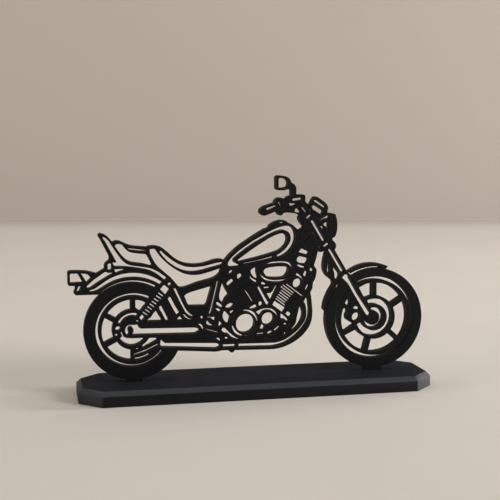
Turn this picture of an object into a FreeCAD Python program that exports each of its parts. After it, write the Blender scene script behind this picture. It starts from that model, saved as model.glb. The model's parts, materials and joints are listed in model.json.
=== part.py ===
import FreeCAD, Part
import math
import os

# Driving sizes of the ornament, in millimetres.
WHEELBASE = 138.0
PLATE_THICKNESS = 5.5
BASE_LENGTH = 200.0
BASE_DEPTH = 49.3
BASE_HEIGHT = 8.3
BASE_CORNER_CUT = 12.1
BASE_CHAMFER = 2.4
FOOT_WIDTH = 10.0
FOOT_DEPTH = 4.0
FOOT_CLEARANCE = 0.15

# The figure is drawn in shares of one unit, of which the wheelbase takes this many.
WHEELBASE_SHARE = 1.38
# The drawing's zero line lies this share of the unit below the top of the base.
ZERO_LINE_SHARE = 0.083
UNIT = WHEELBASE / WHEELBASE_SHARE
ZERO_LINE = BASE_HEIGHT - ZERO_LINE_SHARE * UNIT
FRONT_FACE = -PLATE_THICKNESS / 2

# A corner with this radius is as round as its two runs allow.
S = WHEELBASE_SHARE
# Runs shorter than this share of the unit are left out of an outline.
SHORTEST_RUN_SHARE = 0.0001
SHORTEST_RUN = SHORTEST_RUN_SHARE * UNIT

Vector = FreeCAD.Vector
THROUGH = Vector(0, PLATE_THICKNESS, 0)


# Ways to draw on the plate's front face

def spot(x_share, z_share):
    """A point of the drawing, given as shares of the unit."""
    return Vector(x_share * UNIT, FRONT_FACE, ZERO_LINE + z_share * UNIT)


def polar(centre, radius_share, degrees):
    """The point at an angle and a radius about a centre, all but the angle in shares."""
    turn = math.radians(degrees)
    return spot(centre[0] + radius_share * math.cos(turn), centre[1] + radius_share * math.sin(turn))


def arc(centre, radius_share, start, end):
    """The arc about a centre from one angle to another, counter-clockwise."""
    middle = (start + end) / 2
    points = [polar(centre, radius_share, turn) for turn in (start, middle, end)]
    return Part.Arc(*points).toShape()


def line(start, end):
    return Part.LineSegment(start, end).toShape()


def face(edges):
    return Part.Face(Part.Wire(edges))


def outline(points):
    """The face inside a closed run of corners, each (x, z) or (x, z, radius), in shares.

    A corner with a radius becomes an arc that touches both of its runs, and
    takes at most half of the shorter run.
    """
    count = len(points)
    corners = [spot(point[0], point[1]) for point in points]
    radii = [point[2] * UNIT if len(point) > 2 else 0 for point in points]
    entries = []
    for index in range(count):
        corner = corners[index]
        back = corners[index - 1] - corner
        ahead = corners[(index + 1) % count] - corner
        room = min(back.Length, ahead.Length) / 2
        half_angle = back.getAngle(ahead) / 2
        back.normalize()
        ahead.normalize()
        reach = min(radii[index] / math.tan(half_angle), room)
        if reach * math.cos(half_angle) < SHORTEST_RUN:
            entries.append((corner, corner, corner))
            continue
        inward = back + ahead
        inward.normalize()
        radius = reach * math.tan(half_angle)
        sag = reach / math.cos(half_angle) - radius
        entries.append((corner + back * reach, corner + inward * sag, corner + ahead * reach))
    for index in range(count):
        following = (index + 1) % count
        end = entries[index][2]
        if end.distanceToPoint(entries[following][0]) < SHORTEST_RUN:
            entries[following] = (end, entries[following][1], entries[following][2])
    edges = []
    for index in range(count):
        start, middle, end = entries[index]
        following = entries[(index + 1) % count][0]
        if start != end:
            edges.append(Part.Arc(start, middle, end).toShape())
        if end != following:
            edges.append(line(end, following))
    return face(edges)


def fan(corner, centre, radius_share, start, end):
    """The face between a corner and an arc about a centre."""
    first = line(spot(*corner), polar(centre, radius_share, start))
    last = line(polar(centre, radius_share, end), spot(*corner))
    return face([first, arc(centre, radius_share, start, end), last])


def disk(centre, radius_share):
    """The round face about a centre."""
    circle = Part.Circle(spot(*centre), THROUGH.negative(), radius_share * UNIT)
    return face([circle.toShape()])


def crescent(inner, outer):
    """The stretch between two arcs, each a (centre, radius share, start angle, end angle)."""
    centre, radius_share, start, end = inner
    outer_centre, outer_share, outer_start, outer_end = outer
    first = line(polar(centre, radius_share, start), polar(outer_centre, outer_share, outer_start))
    last = line(polar(outer_centre, outer_share, outer_end), polar(centre, radius_share, end))
    return face([first, arc(*outer), last, arc(*inner)])


def ring_slot(centre, inner_share, outer_share, start, end):
    """The stretch of a ring between two angles."""
    return crescent((centre, inner_share, start, end), (centre, outer_share, start, end))


def spoke_window(centre, inner_share, outer_share, spoke_share, start, end):
    """The opening between two spokes of one width, bounded by the hub ring and the rim."""
    half_share = spoke_share / 2
    near = math.degrees(math.asin(half_share / inner_share))
    far = math.degrees(math.asin(half_share / outer_share))
    outer = arc(centre, outer_share, start + far, end - far)
    inner = arc(centre, inner_share, start + near, end - near)
    first = line(polar(centre, inner_share, start + near), polar(centre, outer_share, start + far))
    last = line(polar(centre, outer_share, end - far), polar(centre, inner_share, end - near))
    return face([first, outer, last, inner])


def slot(start, end, width_share):
    """A straight slot with square ends between two points."""
    along = (end[0] - start[0], end[1] - start[1])
    length = math.hypot(*along)
    side = (-along[1] / length * width_share / 2, along[0] / length * width_share / 2)
    return outline([(start[0] + side[0], start[1] + side[1]), (start[0] - side[0], start[1] - side[1]),
                    (end[0] - side[0], end[1] - side[1]), (end[0] + side[0], end[1] + side[1])])


def slots(runs):
    """Straight slots, each given as its start, its end and its width."""
    return [slot(start, end, width_share) for start, end, width_share in runs]


# Wheels
REAR_CENTRE_SHARES = (-WHEELBASE_SHARE / 2, 0.366)
REAR_TYRE_SHARE = 0.272
REAR_RIM_CENTRE_SHARES = (-0.693, 0.369)
REAR_RIM_SLOT_SHARES = (0.1905, 0.2045)
REAR_RIM_SLOT_DEGREES = (62.5, 323)
REAR_SPOKE_DEGREES = (90, 150, 207, 270)
# From the hub ring to the rim in each window between two spokes
REAR_WINDOW_SHARES = ((0.1145, 0.1705), (0.1145, 0.171), (0.108, 0.167))
REAR_HUB_CENTRE_SHARES = (-0.694, 0.374)
REAR_HUB_SLOT_SHARES = (0.073, 0.091)
REAR_HUB_SLOT_DEGREES = (72, 156)
REAR_LOW_SLOT_SHARES = (0.150, 0.1665)
REAR_LOW_SLOT_DEGREES = (-88, -59)
ADJUSTER_CENTRE_SHARES = (-0.776, 0.380)
ADJUSTER_RADIUS_SHARE = 0.0135
FRONT_CENTRE_SHARES = (WHEELBASE_SHARE / 2, 0.388)
FRONT_TYRE_SHARE = 0.289
FRONT_RIM_CENTRE_SHARES = (0.690, 0.391)
FRONT_WINDOW_SHARES = (0.126, 0.200)
FRONT_RIM_SLOT_CENTRE_SHARES = (0.693, 0.391)
FRONT_RIM_SLOT_SHARES = (0.2205, 0.2355)
FRONT_RIM_SLOT_DEGREES = (-220.5, 118)
FRONT_SPOKE_DEGREES = (-154.5, -104, -42, 31.5, 90)
FRONT_HUB_SLOT_SHARES = (0.0775, 0.108)
FRONT_HUB_SLOT_DEGREES = (-161, 113)
FRONT_AXLE_RIM_CENTRE_SHARES = (0.6875, 0.3895)
FRONT_AXLE_RIM_SHARE = 0.0585
FRONT_AXLE_CENTRE_SHARES = (0.681, 0.389)
FRONT_AXLE_SHARE = 0.042
FRONT_AXLE_SLOT_DEGREES = (-166, 107)
SPOKE_WIDTH_SHARE = 0.027


def rear_wheel_openings():
    centre = REAR_RIM_CENTRE_SHARES
    shapes = [ring_slot(centre, *REAR_RIM_SLOT_SHARES, *REAR_RIM_SLOT_DEGREES)]
    for start, end, (inner, outer) in zip(REAR_SPOKE_DEGREES, REAR_SPOKE_DEGREES[1:], REAR_WINDOW_SHARES):
        shapes.append(spoke_window(centre, inner, outer, SPOKE_WIDTH_SHARE, start, end))
    shapes.append(ring_slot(REAR_HUB_CENTRE_SHARES, *REAR_HUB_SLOT_SHARES, *REAR_HUB_SLOT_DEGREES))
    shapes.append(ring_slot(REAR_CENTRE_SHARES, *REAR_LOW_SLOT_SHARES, *REAR_LOW_SLOT_DEGREES))
    shapes.append(disk(ADJUSTER_CENTRE_SHARES, ADJUSTER_RADIUS_SHARE))
    beside_shock_shares = [(-0.679, 0.535), (-0.661, 0.535), (-0.640, 0.529), (-0.619, 0.517),
                           (-0.626, 0.503), (-0.638, 0.492), (-0.642, 0.483), (-0.653, 0.473),
                           (-0.664, 0.479), (-0.679, 0.494)]
    hub_mark_shares = [(-0.792, 0.349), (-0.784, 0.354), (-0.773, 0.342), (-0.778, 0.334),
                       (-0.787, 0.336)]
    rim_mark_shares = [(-0.678, 0.269), (-0.668, 0.269), (-0.662, 0.256), (-0.675, 0.256)]
    belt_shares = [(-0.691, 0.237), (-0.659, 0.247), (-0.619, 0.261), (-0.561, 0.288), (-0.553, 0.276),
                   (-0.580, 0.262), (-0.630, 0.240), (-0.689, 0.223)]
    lower_window_shares = [(-0.644, 0.283), (-0.637, 0.267), (-0.561, 0.306), (-0.565, 0.322),
                           (-0.604, 0.323), (-0.622, 0.302)]
    hub_window_shares = [(-0.767, 0.326), (-0.752, 0.339), (-0.761, 0.358), (-0.758, 0.363),
                         (-0.747, 0.337), (-0.733, 0.328, S), (-0.700, 0.325), (-0.640, 0.325),
                         (-0.636, 0.312), (-0.650, 0.300), (-0.675, 0.287, S), (-0.700, 0.283, S),
                         (-0.727, 0.289, S), (-0.750, 0.304, S)]
    for points in (beside_shock_shares, hub_mark_shares, rim_mark_shares, belt_shares, lower_window_shares,
                   hub_window_shares):
        shapes.append(outline(points))
    return shapes


def front_wheel_openings():
    centre = FRONT_RIM_CENTRE_SHARES
    inner, outer = FRONT_WINDOW_SHARES
    shapes = [ring_slot(FRONT_RIM_SLOT_CENTRE_SHARES, *FRONT_RIM_SLOT_SHARES, *FRONT_RIM_SLOT_DEGREES)]
    for start, end in zip(FRONT_SPOKE_DEGREES, FRONT_SPOKE_DEGREES[1:]):
        shapes.append(spoke_window(centre, inner, outer, SPOKE_WIDTH_SHARE, start, end))
    shapes.append(ring_slot(centre, *FRONT_HUB_SLOT_SHARES, *FRONT_HUB_SLOT_DEGREES))
    shapes.append(crescent((FRONT_AXLE_CENTRE_SHARES, FRONT_AXLE_SHARE, *FRONT_AXLE_SLOT_DEGREES),
                           (FRONT_AXLE_RIM_CENTRE_SHARES, FRONT_AXLE_RIM_SHARE, *FRONT_AXLE_SLOT_DEGREES)))
    behind_fork_shares = [(0.598, 0.566), (0.640, 0.587, S), (0.663, 0.591), (0.6775, 0.591),
                          (0.6775, 0.516), (0.660, 0.511), (0.640, 0.504), (0.624, 0.518)]
    beside_caliper_shares = [(0.505, 0.447), (0.512, 0.450), (0.531, 0.438), (0.531, 0.423),
                             (0.524, 0.410), (0.524, 0.390), (0.531, 0.379), (0.573, 0.352),
                             (0.521, 0.319), (0.502, 0.332), (0.496, 0.355, S), (0.494, 0.385),
                             (0.496, 0.415, S)]
    hub_mark_shares = [((0.624, 0.401), (0.641, 0.392), 0.008), ((0.672, 0.381), (0.688, 0.380), 0.011),
                       ((0.699, 0.404), (0.707, 0.387), 0.007)]
    return shapes + [outline(behind_fork_shares), outline(beside_caliper_shares)] + slots(hub_mark_shares)


# The outer edge of everything above and between the wheels, in the order it is drawn
TAIL_EDGE_SHARES = [(-0.840, 0.540), (-0.868, 0.572), (-1.000, 0.572, 0.010), (-1.012, 0.584),
                    (-1.003, 0.606), (-1.003, 0.623), (-1.042, 0.624, 0.014), (-1.042, 0.705, 0.014),
                    (-0.945, 0.704, S), (-0.887, 0.687), (-0.845, 0.711), (-0.844, 0.740, S),
                    (-0.816, 0.760, S)]
BACKREST_EDGE_SHARES = [(-0.819, 0.780, S), (-0.859, 0.860), (-0.879, 0.894, S), (-0.867, 0.907, S),
                        (-0.828, 0.893, S), (-0.800, 0.857)]
SEAT_EDGE_SHARES = [(-0.770, 0.866, S), (-0.718, 0.841), (-0.690, 0.833), (-0.615, 0.825),
                    (-0.600, 0.831), (-0.560, 0.832, S), (-0.530, 0.821, S), (-0.500, 0.796),
                    (-0.460, 0.759, S), (-0.415, 0.733, S), (-0.350, 0.723, S), (-0.290, 0.730, S),
                    (-0.235, 0.749, S), (-0.200, 0.750, S), (-0.180, 0.742)]
TANK_EDGE_SHARES = [(-0.158, 0.770, S), (-0.110, 0.815, S), (-0.020, 0.873), (0.045, 0.911),
                    (0.068, 0.918), (0.075, 0.932), (0.100, 0.949, S), (0.132, 0.960, S),
                    (0.160, 0.960, S), (0.182, 0.944), (0.205, 0.935, S), (0.228, 0.911, S),
                    (0.249, 0.902)]
BAR_EDGE_SHARES = [(0.271, 0.920), (0.252, 0.941), (0.239, 0.967, S), (0.249, 0.984), (0.225, 0.996),
                   (0.165, 1.003, S), (0.152, 0.999), (0.146, 0.989, S), (0.134, 0.984, S),
                   (0.121, 0.991, S), (0.118, 1.003), (0.100, 1.006), (0.040, 0.983, S),
                   (0.018, 0.996, S), (0.016, 1.020, S), (0.040, 1.038), (0.100, 1.057), (0.104, 1.070),
                   (0.120, 1.086, S), (0.145, 1.085, S), (0.168, 1.078), (0.173, 1.089), (0.197, 1.096)]
MIRROR_EDGE_SHARES = [(0.197, 1.132), (0.172, 1.131), (0.155, 1.126), (0.109, 1.127, 0.015),
                      (0.109, 1.209, 0.015), (0.150, 1.209, S), (0.185, 1.197, S), (0.199, 1.168),
                      (0.215, 1.160, S), (0.226, 1.143, S), (0.226, 1.102)]
CLOCK_EDGE_SHARES = [(0.278, 1.101, 0.010), (0.278, 1.064), (0.288, 1.052), (0.308, 1.046),
                     (0.315, 1.065, S), (0.333, 1.090, S), (0.350, 1.087), (0.400, 1.052, S),
                     (0.414, 1.025, S), (0.405, 0.999)]
LAMP_EDGE_SHARES = [(0.455, 0.990, 0.010), (0.466, 0.950, S), (0.466, 0.895, S), (0.455, 0.862, S),
                    (0.438, 0.852), (0.439, 0.842), (0.458, 0.824, S), (0.461, 0.805, S), (0.452, 0.785)]
FORK_FRONT_EDGE_SHARES = [(0.480, 0.739), (0.527, 0.659), (0.560, 0.630), (0.740, 0.640), (0.560, 0.430)]
FORK_BACK_EDGE_SHARES = [(0.425, 0.432), (0.399, 0.434), (0.389, 0.445), (0.391, 0.472), (0.400, 0.505),
                         (0.420, 0.550), (0.447, 0.592, S), (0.437, 0.614, S), (0.405, 0.636, S),
                         (0.389, 0.664, S), (0.386, 0.700, S), (0.390, 0.730), (0.402, 0.778)]
DOWN_TUBE_EDGE_SHARES = [(0.383, 0.779), (0.370, 0.775), (0.352, 0.779), (0.343, 0.740), (0.331, 0.703),
                         (0.334, 0.694), (0.346, 0.680, S), (0.346, 0.655, S), (0.337, 0.620, S),
                         (0.325, 0.604, S), (0.322, 0.570), (0.310, 0.548), (0.316, 0.520),
                         (0.323, 0.440), (0.321, 0.395, S), (0.308, 0.355, S), (0.272, 0.307, S),
                         (0.220, 0.268, S), (0.165, 0.243, S), (0.115, 0.231, S)]
EXHAUST_EDGE_SHARES = [(0.070, 0.230), (-0.125, 0.234), (-0.133, 0.225), (-0.143, 0.220, S),
                       (-0.153, 0.225), (-0.162, 0.235), (-0.200, 0.236), (-0.220, 0.231),
                       (-0.240, 0.230), (-0.445, 0.245), (-0.520, 0.300)]
FENDER_CORNER_SHARES = (0.690, 0.589)
FENDER_CENTRE_SHARES = (0.673, 0.474)
FENDER_RADIUS_SHARE = 0.232
FENDER_DEGREES = (65.3, 128.3)
STAY_GAP_SHARES = (0.284, 0.296)
STAY_GAP_DEGREES = (137.5, 164)
# Each gap between a tyre and the sheet above it runs between two arcs: centre and radius, then the angles
FENDER_GAP_INNER_SHARES = ((0.705, 0.413), 0.2624)
FENDER_GAP_INNER_DEGREES = (86.5, 124)
FENDER_GAP_OUTER_SHARES = (FRONT_CENTRE_SHARES, 0.298)
FENDER_GAP_OUTER_DEGREES = (82.5, 118.5)
REAR_GAP_INNER_SHARES = ((-0.6978, 0.3658), 0.2669)
REAR_GAP_INNER_DEGREES = (61, 133)
REAR_GAP_OUTER_SHARES = ((-0.696, 0.3741), 0.2699)
REAR_GAP_OUTER_DEGREES = (61, 131)


def silhouette():
    """The whole figure without its openings."""
    body = outline(TAIL_EDGE_SHARES + BACKREST_EDGE_SHARES + SEAT_EDGE_SHARES + TANK_EDGE_SHARES
                   + BAR_EDGE_SHARES + MIRROR_EDGE_SHARES + CLOCK_EDGE_SHARES + LAMP_EDGE_SHARES
                   + FORK_FRONT_EDGE_SHARES + FORK_BACK_EDGE_SHARES + DOWN_TUBE_EDGE_SHARES
                   + EXHAUST_EDGE_SHARES)
    rear = disk(REAR_CENTRE_SHARES, REAR_TYRE_SHARE)
    front = disk(FRONT_CENTRE_SHARES, FRONT_TYRE_SHARE)
    fender = fan(FENDER_CORNER_SHARES, FENDER_CENTRE_SHARES, FENDER_RADIUS_SHARE, *FENDER_DEGREES)
    return body.fuse([rear, front, fender])


def fender_gaps():
    """The thin gaps between each tyre and the sheet above it."""
    return [crescent((*REAR_GAP_INNER_SHARES, *REAR_GAP_INNER_DEGREES),
                     (*REAR_GAP_OUTER_SHARES, *REAR_GAP_OUTER_DEGREES)),
            crescent((*FENDER_GAP_INNER_SHARES, *FENDER_GAP_INNER_DEGREES),
                     (*FENDER_GAP_OUTER_SHARES, *FENDER_GAP_OUTER_DEGREES)),
            ring_slot(FRONT_CENTRE_SHARES, *STAY_GAP_SHARES, *STAY_GAP_DEGREES)]


# The long opening of the rear mudguard, bounded by two arcs
MUDGUARD_INNER_SHARES = ((-0.693, 0.381), 0.279)
MUDGUARD_INNER_DEGREES = (56.9, 124.7)
MUDGUARD_OUTER_SHARES = ((-0.696, 0.420), 0.266)
MUDGUARD_OUTER_DEGREES = (50.7, 127.9)


def tail_openings():
    lamp_shares = [(-1.028, 0.638), (-1.029, 0.690, 0.008), (-0.989, 0.690, 0.004), (-0.962, 0.640)]
    lens_shares = [(-0.971, 0.690), (-0.942, 0.687), (-0.930, 0.679), (-0.917, 0.662), (-0.940, 0.640)]
    bracket_shares = [(-0.984, 0.620), (-0.969, 0.621), (-0.980, 0.595), (-0.989, 0.588), (-0.994, 0.598)]
    upper_shares = [(-0.938, 0.622), (-0.901, 0.654), (-0.856, 0.685), (-0.842, 0.694), (-0.832, 0.694),
                    (-0.826, 0.689), (-0.802, 0.690), (-0.800, 0.681), (-0.829, 0.667), (-0.879, 0.637),
                    (-0.921, 0.609), (-0.934, 0.606), (-0.941, 0.614)]
    tip_shares = [(-0.927, 0.596), (-0.900, 0.603, S), (-0.850, 0.636), (-0.845, 0.625),
                  (-0.852, 0.6104), (-0.885, 0.592, S), (-0.910, 0.585), (-0.928, 0.588)]
    loop_shares = [(-0.826, 0.703, 0.008), (-0.826, 0.740, 0.008), (-0.8055, 0.740, 0.008),
                   (-0.8055, 0.703, 0.008)]
    strut_shares = [(-0.790, 0.708), (-0.727, 0.709), (-0.742, 0.699), (-0.765, 0.692), (-0.778, 0.685),
                    (-0.788, 0.698)]
    rail_shares = [((-0.965, 0.592), (-0.926, 0.593), 0.005)]
    shapes = slots(rail_shares)
    shapes.append(crescent((*MUDGUARD_INNER_SHARES, *MUDGUARD_INNER_DEGREES),
                           (*MUDGUARD_OUTER_SHARES, *MUDGUARD_OUTER_DEGREES)))
    for points in (lamp_shares, lens_shares, bracket_shares, upper_shares, tip_shares, loop_shares,
                   strut_shares):
        shapes.append(outline(points))
    return shapes


def seat_openings():
    under_seat_shares = [(-0.852, 0.882), (-0.847, 0.885), (-0.836, 0.879), (-0.818, 0.861),
                         (-0.794, 0.8215), (-0.768, 0.7815), (-0.750, 0.756, S), (-0.720, 0.7315, S),
                         (-0.685, 0.724), (-0.600, 0.711, S), (-0.557, 0.692, S), (-0.501, 0.650),
                         (-0.513, 0.639), (-0.558, 0.676, S), (-0.600, 0.698, S), (-0.720, 0.7195, S),
                         (-0.786, 0.722), (-0.794, 0.732), (-0.800, 0.746), (-0.784, 0.744),
                         (-0.780, 0.752), (-0.796, 0.782), (-0.838, 0.861)]
    pillion_shares = [(-0.786, 0.834), (-0.780, 0.844), (-0.765, 0.846, S), (-0.748, 0.842, S),
                      (-0.728, 0.813, S), (-0.705, 0.798, S), (-0.660, 0.791), (-0.620, 0.787),
                      (-0.608, 0.772), (-0.585, 0.725), (-0.592, 0.722), (-0.640, 0.735),
                      (-0.700, 0.743, S), (-0.730, 0.760, S), (-0.760, 0.796)]
    piping_shares = [(-0.714, 0.821), (-0.660, 0.814), (-0.616, 0.807), (-0.613, 0.802), (-0.655, 0.804),
                     (-0.710, 0.812)]
    saddle_shares = [(-0.597, 0.813), (-0.574, 0.816), (-0.565, 0.809), (-0.540, 0.771, S),
                     (-0.510, 0.738, S), (-0.460, 0.699, S), (-0.410, 0.673, S), (-0.365, 0.664, S),
                     (-0.320, 0.666, S), (-0.250, 0.685), (-0.214, 0.697), (-0.202, 0.694),
                     (-0.208, 0.673), (-0.225, 0.655, S), (-0.255, 0.641, S), (-0.330, 0.623),
                     (-0.400, 0.599, S), (-0.425, 0.596, S), (-0.438, 0.601), (-0.480, 0.652),
                     (-0.560, 0.722, S), (-0.585, 0.766), (-0.597, 0.795)]
    welt_shares = [(-0.544, 0.800), (-0.537, 0.803), (-0.500, 0.767, S), (-0.450, 0.732, S),
                   (-0.405, 0.712, S), (-0.355, 0.707, S), (-0.300, 0.712), (-0.230, 0.729),
                   (-0.196, 0.733), (-0.187, 0.725), (-0.198, 0.716), (-0.300, 0.690), (-0.350, 0.681, S),
                   (-0.400, 0.685, S), (-0.450, 0.707, S), (-0.500, 0.744, S), (-0.530, 0.780)]
    return [outline(points) for points in (under_seat_shares, pillion_shares, piping_shares, saddle_shares,
                                           welt_shares)]


# Rear shock with its coil
COIL_COUNT = 8
COIL_FIRST_SHARES = (-0.537, 0.559)
COIL_STEP_SHARES = (-0.01243, -0.0147)
COIL_HALF_SHARES = (0.0155, -0.0115)
COIL_WIDTH_SHARE = 0.0078
SHOCK_EYE_CENTRE_SHARES = (-0.4895, 0.6165)
SHOCK_EYE_RADIUS_SHARE = 0.0105


def shock_openings():
    shapes = []
    for turn in range(COIL_COUNT):
        x = COIL_FIRST_SHARES[0] + turn * COIL_STEP_SHARES[0]
        z = COIL_FIRST_SHARES[1] + turn * COIL_STEP_SHARES[1]
        start = (x - COIL_HALF_SHARES[0], z - COIL_HALF_SHARES[1])
        end = (x + COIL_HALF_SHARES[0], z + COIL_HALF_SHARES[1])
        shapes.append(slot(start, end, COIL_WIDTH_SHARE))
    head_shares = [(-0.543, 0.591, 0.004), (-0.521, 0.615, 0.004), (-0.488, 0.586, 0.004),
                   (-0.509, 0.556, 0.004)]
    foot_shares = [(-0.659, 0.437), (-0.644, 0.455), (-0.627, 0.435), (-0.642, 0.416)]
    foot_mark_shares = [(-0.678, 0.424), (-0.670, 0.425), (-0.658, 0.412), (-0.664, 0.407)]
    shapes.append(disk(SHOCK_EYE_CENTRE_SHARES, SHOCK_EYE_RADIUS_SHARE))
    for points in (head_shares, foot_shares, foot_mark_shares):
        shapes.append(outline(points))
    return shapes


def frame_openings():
    strut_shares = [(-0.468, 0.592), (-0.455, 0.595), (-0.420, 0.517), (-0.399, 0.473, S),
                    (-0.381, 0.449, S), (-0.358, 0.436), (-0.359, 0.427), (-0.380, 0.437, S),
                    (-0.402, 0.457, S), (-0.434, 0.520)]
    rear_bar_shares = [(-0.500, 0.537), (-0.491, 0.549), (-0.482, 0.541), (-0.456, 0.490),
                       (-0.434, 0.453), (-0.448, 0.440), (-0.463, 0.465), (-0.482, 0.500)]
    guard_shares = [(-0.550, 0.489), (-0.543, 0.500), (-0.534, 0.495), (-0.508, 0.442), (-0.498, 0.421),
                    (-0.500, 0.411), (-0.510, 0.413), (-0.534, 0.461)]
    wedge_shares = [(-0.569, 0.474), (-0.536, 0.420), (-0.536, 0.414), (-0.613, 0.415), (-0.612, 0.426),
                    (-0.595, 0.438)]
    knob_shares = [(-0.448, 0.427), (-0.436, 0.437), (-0.417, 0.415), (-0.418, 0.4125), (-0.448, 0.4125)]
    hook_shares = [(-0.417, 0.448), (-0.410, 0.446), (-0.393, 0.429), (-0.364, 0.414), (-0.365, 0.409),
                   (-0.378, 0.412), (-0.395, 0.421)]
    triangle_shares = [(-0.409, 0.550), (-0.400, 0.560), (-0.375, 0.570), (-0.270, 0.598),
                       (-0.258, 0.598), (-0.258, 0.585), (-0.282, 0.503), (-0.292, 0.492),
                       (-0.382, 0.494), (-0.391, 0.505), (-0.401, 0.530)]
    tube_shares = [(-0.226, 0.628), (-0.213, 0.623), (-0.226, 0.565), (-0.242, 0.500), (-0.256, 0.444),
                   (-0.261, 0.436), (-0.271, 0.448), (-0.258, 0.495), (-0.242, 0.560)]
    rail_shares = [(-0.424, 0.560), (-0.411, 0.574), (-0.248, 0.6235), (-0.246, 0.6165), (-0.407, 0.568),
                   (-0.418, 0.556)]
    line_shares = [((-0.380, 0.477), (-0.282, 0.475), 0.006), ((-0.366, 0.434), (-0.329, 0.431), 0.005),
                   ((-0.203, 0.652), (-0.178, 0.690), 0.008)]
    return slots(line_shares) + [outline(points) for points in (
        strut_shares, rear_bar_shares, guard_shares, wedge_shares, knob_shares, hook_shares, triangle_shares,
        tube_shares, rail_shares)]


def swing_arm_openings():
    arm_shares = [(-0.722, 0.399, S), (-0.669, 0.399), (-0.664, 0.384, S), (-0.650, 0.377),
                  (-0.350, 0.371), (-0.332, 0.365, S), (-0.321, 0.353, S), (-0.332, 0.342, S),
                  (-0.352, 0.336), (-0.690, 0.3415), (-0.696, 0.350), (-0.688, 0.368, S),
                  (-0.697, 0.387, S), (-0.716, 0.386, S), (-0.722, 0.366, S), (-0.716, 0.347),
                  (-0.724, 0.339), (-0.735, 0.355, S), (-0.737, 0.378, S)]
    silencer_shares = [(-0.542, 0.310), (-0.545, 0.280), (-0.539, 0.270), (-0.528, 0.266),
                       (-0.400, 0.258), (-0.230, 0.246), (-0.213, 0.252), (-0.205, 0.259),
                       (-0.224, 0.276), (-0.236, 0.279), (-0.520, 0.291), (-0.531, 0.300)]
    joint_shares = [(-0.194, 0.269), (-0.129, 0.269), (-0.119, 0.262), (-0.119, 0.249), (-0.194, 0.249)]
    pipe_shares = [(-0.104, 0.269), (0.080, 0.267), (0.1155, 0.2675, S), (0.163, 0.281, S),
                   (0.2095, 0.310, S), (0.252, 0.347, S), (0.285, 0.394, S), (0.289, 0.440, S),
                   (0.282, 0.480), (0.272, 0.497), (0.281, 0.515), (0.290, 0.519), (0.300, 0.508),
                   (0.307, 0.455), (0.306, 0.400, S), (0.284, 0.355, S), (0.241, 0.308, S),
                   (0.196, 0.274, S), (0.146, 0.252, S), (0.090, 0.244), (-0.104, 0.248)]
    front_pipe_shares = [(0.246, 0.468), (0.256, 0.469), (0.264, 0.450), (0.270, 0.424, S),
                         (0.266, 0.398, S), (0.252, 0.370, S), (0.230, 0.344), (0.207, 0.326),
                         (0.201, 0.330), (0.203, 0.346), (0.220, 0.364, S), (0.229, 0.385, S),
                         (0.232, 0.410), (0.240, 0.440)]
    line_shares = [((-0.656, 0.394), (-0.345, 0.388), 0.007), ((-0.495, 0.310), (-0.255, 0.304), 0.006)]
    return slots(line_shares) + [outline(points) for points in (
        arm_shares, silencer_shares, joint_shares, pipe_shares, front_pipe_shares)]


# Engine
COVER_CENTRE_SHARES = (-0.065, 0.383)
COVER_RADIUS_SHARE = 0.054
COVER_SLOT_SHARES = (0.066, 0.078)
COVER_SLOT_DEGREES = ((3, 98), (104, 178), (188, 262), (268, 345))
CAM_CENTRE_SHARES = (0.0645, 0.405)
CAM_RADIUS_SHARE = 0.036
CAM_SLOT_SHARES = (0.050, 0.060)
CAM_SLOT_DEGREES = (-60, 8)
FRONT_FIN_STARTS_SHARES = [(0.109, 0.520), (0.115, 0.532), (0.125, 0.543), (0.132, 0.555), (0.141, 0.567),
                           (0.139, 0.587), (0.150, 0.596), (0.171, 0.600)]
FRONT_FIN_LENGTHS_SHARE = [0.080, 0.075, 0.077, 0.079, 0.080, 0.096, 0.093, 0.130]
REAR_FIN_STARTS_SHARES = [(-0.142, 0.564), (-0.139, 0.549), (-0.129, 0.534)]
REAR_FIN_LENGTHS_SHARE = [0.115, 0.125, 0.060]
FRONT_FIN_DEGREES = -37.5
REAR_FIN_DEGREES = 30
FIN_WIDTH_SHARE = 0.0055


def fins(starts, lengths, degrees):
    """Cooling slots side by side, each from its start along one direction."""
    turn = math.radians(degrees)
    shapes = []
    for start, length in zip(starts, lengths):
        end = (start[0] + length * math.cos(turn), start[1] + length * math.sin(turn))
        shapes.append(slot(start, end, FIN_WIDTH_SHARE))
    return shapes


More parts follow.
